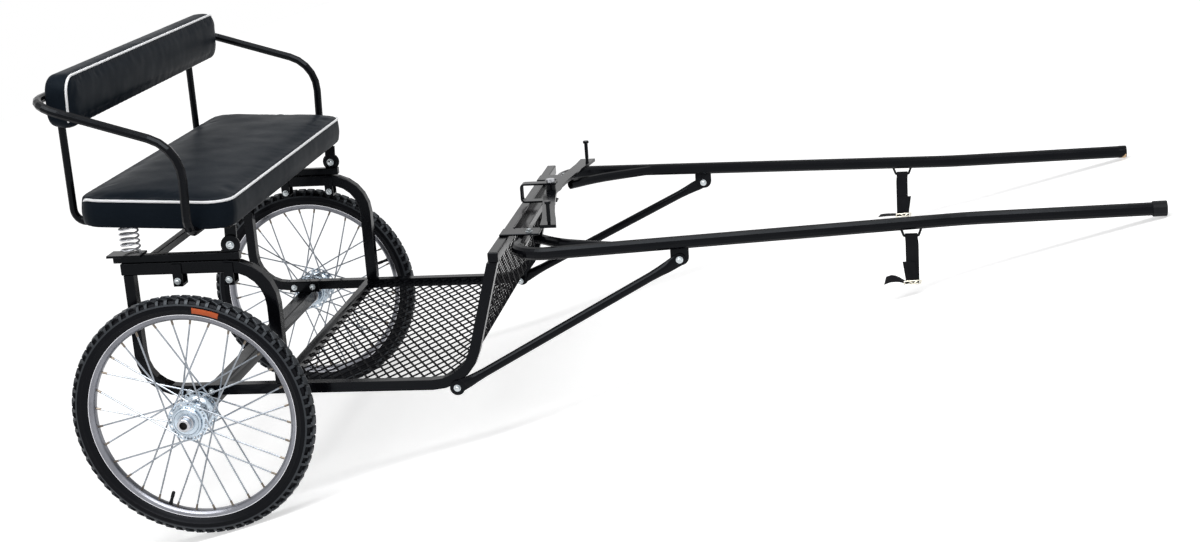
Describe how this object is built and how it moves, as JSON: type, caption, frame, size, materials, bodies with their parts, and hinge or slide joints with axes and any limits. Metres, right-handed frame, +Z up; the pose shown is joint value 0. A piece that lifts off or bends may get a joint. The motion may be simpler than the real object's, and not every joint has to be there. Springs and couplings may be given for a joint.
{
  "type": "pony cart",
  "caption": "Two-wheeled single-pony cart with bench seat and backrest, spoked wheels, expanded-metal floor, shafts and singletree, parked on its shaft tips.",
  "frame": {"origin": "on the floor under the middle of the parked cart's bounding box", "axes": "+X forward to the pony, +Y to the cart's left, +Z up from the floor it is parked on"},
  "size_m": [2.6428, 1.248, 1.1846],
  "materials": {
    "alloy": "satin alloy",
    "black_paint": "satin black powder coat",
    "board": "black painted board",
    "rubber": "dull black rubber",
    "steel": "plated steel",
    "tyre": "dull black rubber, knobbly tread",
    "vinyl": "black vinyl with a fine grain and white piping",
    "webbing": "black woven webbing",
    "zinc": "bright zinc plate"
  },
  "bodies": {
    "wheel_right": {"hub_right": "zinc", "rim_right": "alloy", "tyre_right": "tyre"},
    "wheel_left": {"hub_left": "zinc", "rim_left": "alloy", "tyre_left": "tyre"},
    "singletree": {"singletree": "black_paint"},
    "cart": {"arch_left": "black_paint", "arch_right": "black_paint", "arm_hoop": "black_paint", "axle_bracket_left": "black_paint", "axle_bracket_right": "black_paint", "axle_tube": "black_paint", "back_plate_left": "black_paint", "back_plate_right": "black_paint", "back_upright_left": "black_paint", "back_upright_right": "black_paint", "backrest_cushion": "vinyl", "clevis": "black_paint", "dash_top_bar": "black_paint", "floor_crossbar": "black_paint", "floor_mesh": "black_paint", "pivot_bolt": "steel", "rail_lug_left": "black_paint", "rail_lug_right": "black_paint", "seat_board": "board", "seat_clamp_front_left": "black_paint", "seat_clamp_front_right": "black_paint", "seat_clamp_rear_left": "black_paint", "seat_clamp_rear_right": "black_paint", "seat_cushion": "vinyl", "seat_lug_left": "black_paint", "seat_lug_right": "black_paint", "seat_rail_crossbar": "black_paint", "seat_rail_left": "black_paint", "seat_rail_right": "black_paint", "seat_spring_left": "steel", "seat_spring_right": "steel", "shaft_brace_left": "black_paint", "shaft_brace_right": "black_paint", "shaft_cap_right": "rubber", "shaft_crossbar": "black_paint", "shaft_left": "black_paint", "shaft_plate_left": "black_paint", "shaft_plate_right": "black_paint", "shaft_right": "black_paint", "side_frame_left": "black_paint", "side_frame_right": "black_paint", "strut_left": "black_paint", "strut_right": "black_paint", "stub_axle_left": "steel", "stub_axle_right": "steel", "tug_strap_left": "webbing", "tug_strap_right": "webbing"}
  },
  "joints": [
    {"name": "wheel_right_spin", "type": "hinge", "parent": "cart", "child": "wheel_right", "pos_m": [-1.01642, -0.55, 0.305], "axis": [0, 1, 0], "continuous": true},
    {"name": "wheel_left_spin", "type": "hinge", "parent": "cart", "child": "wheel_left", "pos_m": [-1.01642, 0.55, 0.305], "axis": [0, 1, 0], "continuous": true},
    {"name": "singletree_swivel", "type": "hinge", "parent": "cart", "child": "singletree", "pos_m": [-0.11261, 0, 0.45535], "axis": [0.2789, 0, 0.9603], "range_deg": [-30, 30]}
  ]
}
